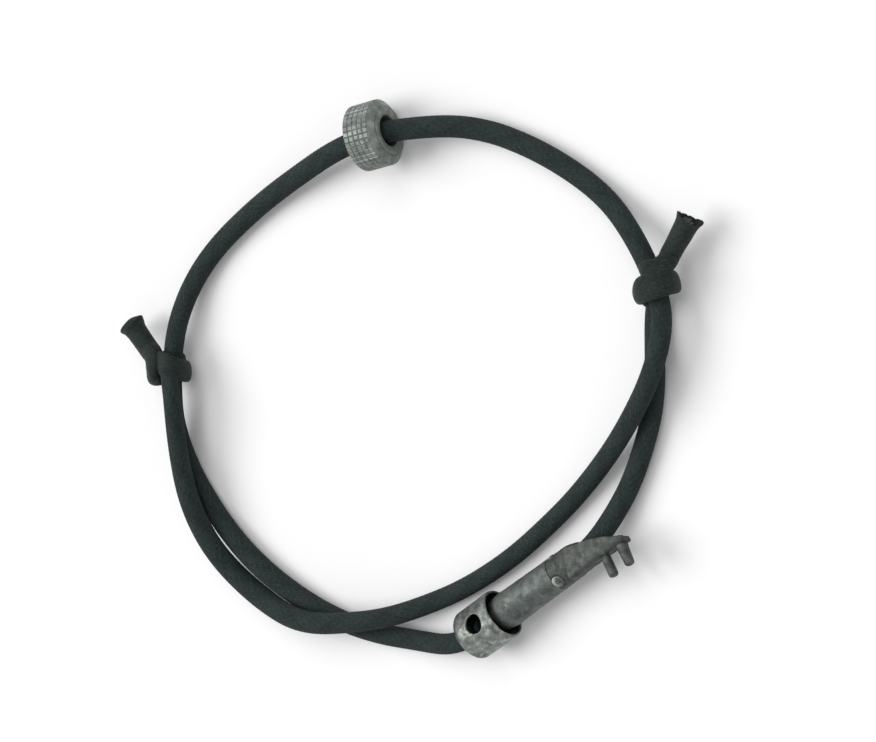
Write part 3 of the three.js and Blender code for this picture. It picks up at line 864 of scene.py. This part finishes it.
def noise_on(tree, vector, scale, detail=3.0, roughness=0.55):
    made = add(tree, "ShaderNodeTexNoise")
    feed(tree, made.inputs["Vector"], vector)
    for title, value in (("Scale", scale), ("Detail", detail), ("Roughness", roughness)):
        feed(tree, made.inputs[title], value)
    return made.outputs["Fac"]


# %% [markdown]
# ## Weave group
# The yarns' own colour varies a little, each yarn is a bundle of finer threads, and a haze of short
# fibres covers it all. The group reads the UV map, where the weave is a plain sum and difference,
# so that the colours sit exactly on the modelled pillows, and the haze is taken round a circle, so
# that it has no seam.

# %% Weave group
weave_tree, weave_in, weave_out = new_group(
    "braid_weave", [("Yarns", yarns), ("Threads", 3.0), ("Lay", lay)],
    ["Crest", "Yarn Tone", "Threads", "Haze"])


def sums(operation, *values):
    return maths(weave_tree, operation, *values)


uv = add(weave_tree, "ShaderNodeUVMap", uv_map="UVMap").outputs[0]
split = add(weave_tree, "ShaderNodeSeparateXYZ")
feed(weave_tree, split.inputs[0], uv)
round_cord, along_cord = split.outputs[0], split.outputs[1]
left_hand = sums("MULTIPLY", sums("ADD", round_cord, along_cord), weave_in["Yarns"])
right_hand = sums("MULTIPLY", sums("SUBTRACT", round_cord, along_cord), weave_in["Yarns"])
left_cell, right_cell = (sums("FLOOR", x) for x in (left_hand, right_hand))
under = sums("FLOORED_MODULO", sums("ADD", left_cell, right_cell), 2.0)
left_part, right_part = (sums("FRACT", x) for x in (left_hand, right_hand))
across_yarn = either(weave_tree, under, left_part, right_part)
along_yarn = either(weave_tree, under, right_part, left_part)
across_arch = sums("SINE", sums("MULTIPLY", across_yarn, math.pi))
along_arch = sums("SINE", sums("MULTIPLY", along_yarn, math.pi))
crest_height = sums("MULTIPLY", sums("POWER", across_arch, 0.6),
                     sums("MULTIPLY_ADD", along_arch, 0.45, 0.55))
thread_turns = sums("MULTIPLY", across_yarn, weave_in["Threads"])
thread_wave = sums("SINE", sums("MULTIPLY", thread_turns, 2 * math.pi))
top_cell = either(weave_tree, under, left_cell, right_cell)
yarn_number = sums("FLOORED_MODULO", top_cell, weave_in["Yarns"])
yarn_tone = add(weave_tree, "ShaderNodeTexWhiteNoise", noise_dimensions="2D")
feed(weave_tree, yarn_tone.inputs["Vector"], combine(weave_tree, yarn_number, under))
turn_angle = sums("MULTIPLY", round_cord, 2 * math.pi)
skin_place = combine(
    weave_tree, sums("MULTIPLY", sums("COSINE", turn_angle), cord_radius),
    sums("MULTIPLY", sums("SINE", turn_angle), cord_radius),
    sums("MULTIPLY", along_cord, weave_in["Lay"]))
haze = noise_on(weave_tree, skin_place, 2.6, 5.0, 0.7)
for title, value in (("Crest", crest_height), ("Yarn Tone", yarn_tone.outputs["Value"]),
                     ("Threads", thread_wave), ("Haze", haze)):
    feed(weave_tree, weave_out[title], value)


def new_material(name):
    material = bpy.data.materials.new(name)
    material.use_nodes = True
    tree = material.node_tree
    return material, tree, tree.nodes["Principled BSDF"].inputs


def bump(tree, shader, height, strength, distance):
    made = add(tree, "ShaderNodeBump")
    feed(tree, made.inputs["Height"], height)
    made.inputs["Strength"].default_value = strength
    made.inputs["Distance"].default_value = distance
    tree.links.new(made.outputs[0], shader["Normal"])


# %% [markdown]
# ## Cord finish
# The cord is a blue-green grey. The dips between the yarns are painted darker than the crests, as
# shade. It has hardly any gloss, only the soft sheen of fine fibres. Inside the knots the braid is
# stretched smooth and has darkened, so the knotted lengths are less rough and a little glossier.
# Where an attribute marks the stretch inside the fitting, the cord is painted black, as shade.

# %% Cord finish
haze_share = 0.8
# Black for the painted shade inside the fitting.
painted_shade_black = (0.002, 0.002, 0.002, 1)


def cord_finish(name, deep, pale, roughness, gloss):
    material, tree, shader = new_material(name)
    woven = add(tree, "ShaderNodeGroup", node_tree=weave_tree).outputs
    hazy = maths(tree, "MULTIPLY", woven["Haze"], haze_share)
    tone = maths(tree, "MULTIPLY_ADD", woven["Yarn Tone"], 0.35, hazy)
    # Painted shade: the dips between the yarns are darker than the crests.
    painted_dip_shade = maths(tree, "MULTIPLY_ADD", woven["Crest"], 0.5, 0.5)
    tone = maths(tree, "MULTIPLY", tone, painted_dip_shade, clamp=True)
    # Painted shade: the stretch inside the fitting is blended to black.
    inside_shade = add(tree, "ShaderNodeAttribute", attribute_name="grime_and_shade").outputs["Fac"]
    unshaded = blend_colours(tree, tone, deep, pale)
    feed(tree, shader["Base Color"], blend_colours(tree, inside_shade, unshaded, painted_shade_black))
    feed(tree, shader["Roughness"], ranged(tree, woven["Haze"], 0.3, 0.7, roughness, roughness + 0.15))
    fine = maths(tree, "MULTIPLY_ADD", woven["Threads"], 0.35, woven["Haze"])
    bump(tree, shader, fine, 0.6, 0.00008)
    shader["Sheen Weight"].default_value = 0.03
    shader["Sheen Roughness"].default_value = 0.5
    shader["Specular IOR Level"].default_value = gloss
    return material


cord_material = cord_finish("braided_cord", (0.007, 0.011, 0.011, 1), (0.046, 0.062, 0.062, 1),
                            roughness=0.75, gloss=0.08)
knot_material = cord_finish("braided_cord_pulled_tight", (0.004, 0.007, 0.006, 1), (0.034, 0.048, 0.043, 1),
                            roughness=0.42, gloss=0.1)
for piece in (top_arc, outer_strand, threaded_strand, loose_fibres):
    piece.data.materials.append(cord_material)
for piece in (left_knot, right_knot):
    piece.data.materials.append(knot_material)

core_material, tree, shader = new_material("rubber_core")
where = add(tree, "ShaderNodeTexCoord").outputs["Object"]
grime_and_shade = noise_on(tree, where, 2500.0, 4.0)
rubber = blend_colours(tree, grime_and_shade, (0.007, 0.008, 0.008, 1), (0.018, 0.019, 0.019, 1))
feed(tree, shader["Base Color"], rubber)
feed(tree, shader["Roughness"], ranged(tree, grime_and_shade, 0.3, 0.7, 0.6, 0.85))
bump(tree, shader, grime_and_shade, 0.4, 0.00005)
core_strands.data.materials.append(core_material)

# %% [markdown]
# ## Metal skin group
# Zinc that was blasted with beads is uneven at two scales: a fine grain, and soft patches a
# millimetre wide where handling has polished the skin bright or stained it dark. The group makes
# both from the piece's own coordinates, and each metal mixes them its own way. An attribute paints
# shade black on the castings' inner walls, and weaker painted shade on the head's far side, between
# the pins, in the rivets' dimples and on one side of their rims; it also darkens the head's heel.

# %% Metal skin group
skin_tree, skin_in, skin_out = new_group(
    "blasted_skin", [("Grain Size", 3200.0), ("Patch Size", 620.0)], ["Grain", "Patches", "Polish", "Grime_And_Shade"])
where = add(skin_tree, "ShaderNodeTexCoord").outputs["Object"]
feed(skin_tree, skin_out["Grain"], noise_on(skin_tree, where, skin_in["Grain Size"], 3.0, 0.6))
patches = noise_on(skin_tree, where, skin_in["Patch Size"], 4.0, 0.6)
feed(skin_tree, skin_out["Patches"], patches)
polish_size = maths(skin_tree, "MULTIPLY", skin_in["Patch Size"], 1.7)
polish = noise_on(skin_tree, where, polish_size, 3.0, 0.5)
feed(skin_tree, skin_out["Polish"], ranged(skin_tree, polish, 0.52, 0.66, 0.0, 1.0))
painted = add(skin_tree, "ShaderNodeAttribute", attribute_name="grime_and_shade").outputs["Fac"]
feed(skin_tree, skin_out["Grime_And_Shade"], painted)
grime_and_shade_black = (0.006, 0.007, 0.006, 1)


def metal_finish(name, dark, light, bright, roughness, polish_share, grain=0.3, metallic=0.6):
    """A blasted metal: dark and light in patches, bright where it is polished, black where painted shade or
    grime is marked.
    """
    material, tree, shader = new_material(name)
    skin = add(tree, "ShaderNodeGroup", node_tree=skin_tree).outputs
    patchy = maths(tree, "MULTIPLY", skin["Patches"], 1 - grain)
    tone = maths(tree, "MULTIPLY_ADD", skin["Grain"], grain, patchy)
    body = blend_colours(tree, ranged(tree, tone, 0.38, 0.62, 0.0, 1.0), dark, light)
    worn = blend_colours(tree, maths(tree, "MULTIPLY", skin["Polish"], polish_share), body, bright)
    # Painted shade: the marked places are blended to black.
    feed(tree, shader["Base Color"], blend_colours(tree, skin["Grime_And_Shade"], worn, grime_and_shade_black))
    feed(tree, shader["Roughness"], ranged(tree, skin["Patches"], 0.35, 0.65, roughness + 0.12, roughness))
    # Where shade is painted black the metal is fully metallic, so it reflects almost nothing there.
    feed(tree, shader["Metallic"], maths(tree, "MULTIPLY_ADD", skin["Grime_And_Shade"], 1 - metallic, metallic))
    bump(tree, shader, maths(tree, "MULTIPLY_ADD", skin["Patches"], 1.2, skin["Grain"]), 0.45, 0.00006)
    return material


cast_material = metal_finish("blasted_casting", (0.052, 0.061, 0.057, 1), (0.112, 0.126, 0.118, 1),
                             (0.18, 0.2, 0.185, 1), 0.5, 0.45)
arm_material = metal_finish("blasted_casting_stained", (0.028, 0.032, 0.029, 1), (0.064, 0.071, 0.066, 1),
                            (0.12, 0.13, 0.12, 1), 0.55, 0.4)
ring_material = metal_finish("rolled_zinc", (0.11, 0.127, 0.118, 1), (0.215, 0.235, 0.22, 1),
                             (0.31, 0.33, 0.31, 1), 0.5, 0.4)
head_material = metal_finish("worn_bright_casting", (0.07, 0.08, 0.074, 1), (0.22, 0.24, 0.22, 1),
                             (0.4, 0.43, 0.4, 1), 0.42, 0.6, grain=0.2)
# The rivets' metal is painted bright; with the painted shade on it, a lit crescent shows.
rivet_highlight_material = metal_finish("rivet_with_painted_highlight", (0.2, 0.22, 0.2, 1), (0.42, 0.45, 0.42, 1),
                              (0.6, 0.64, 0.6, 1), 0.42, 0.6, grain=0.2)
dark_material = metal_finish("dark_steel", (0.005, 0.006, 0.006, 1), (0.016, 0.018, 0.017, 1),
                             (0.035, 0.038, 0.035, 1), 0.6, 0.3)
for material, names in (
    (ring_material, ("knurled_ring_band", "ring_inner_bush")),
    (cast_material, ("fitting_barrel_tube",)),
    (arm_material, ("fitting_rear_casting", "pin_inner", "pin_outer")),
    (head_material, ("fitting_head_cup",)),
    (rivet_highlight_material, ("rivet_upper", "rivet_left")),
):
    for name in names:
        bpy.data.objects[name].data.materials.append(material)
for name in ("cord_eyelet", "swivel_collar", "retaining_ring"):
    nodes[name].material_slots[0].material = dark_material
print(len(bpy.data.materials), "materials")

# %% [markdown]
# ## Table and light
# The loop lies on a white sheet under two broad soft lights, the stronger one from the left and the
# other from the far side, with even light from all round. The sheet is plain pale paper; seen
# directly it is lifted to white by a little light of its own, which metal also reflects, while the
# shadows on it stay.

# %% Table and light
def seen_directly(tree):
    """1 for rays from the camera and for those that metal or glass passes on, 0 for the rest."""
    rays = add(tree, "ShaderNodeLightPath").outputs
    passed_on = maths(tree, "MAXIMUM", rays["Is Glossy Ray"], rays["Is Transmission Ray"])
    return maths(tree, "MAXIMUM", rays["Is Camera Ray"], passed_on)


bm = bmesh.new()
bmesh.ops.create_grid(bm, x_segments=1, y_segments=1, size=600)
table = new_piece("table_sheet", bm)
sheet_material, tree, shader = new_material("white_sheet")
shader["Base Color"].default_value = (0.86, 0.86, 0.86, 1)
shader["Roughness"].default_value = 0.9
shader["Specular IOR Level"].default_value = 0.0
glow = blend_colours(tree, seen_directly(tree), (0, 0, 0, 1), (0.07, 0.07, 0.07, 1))
feed(tree, shader["Emission Color"], glow)
shader["Emission Strength"].default_value = 1.0
table.data.materials.append(sheet_material)

world = bpy.data.worlds.new("studio")
bpy.context.scene.world = world
world.use_nodes = True
tree = world.node_tree
surround = tree.nodes["Background"]
air = blend_colours(tree, seen_directly(tree), (0.42, 0.42, 0.42, 1), (1, 1, 1, 1))
feed(tree, surround.inputs["Color"], air)

lamp_angle = math.radians(40)  # broad, so that shadows are soft
for name, towards, energy in (("window_light", (-0.85, 0.15, 1.0), 1.85),
                              ("far_light", (0.05, 0.65, 1.0), 0.95)):
    lamp = bpy.data.objects.new(name, bpy.data.lights.new(name, "SUN"))
    bpy.context.scene.collection.objects.link(lamp)
    lamp.data.energy = energy
    lamp.data.angle = lamp_angle
    lamp.matrix_world = Vector(towards).to_track_quat("Z", "Y").to_matrix().to_4x4()
bpy.context.scene.view_settings.view_transform = "Standard"
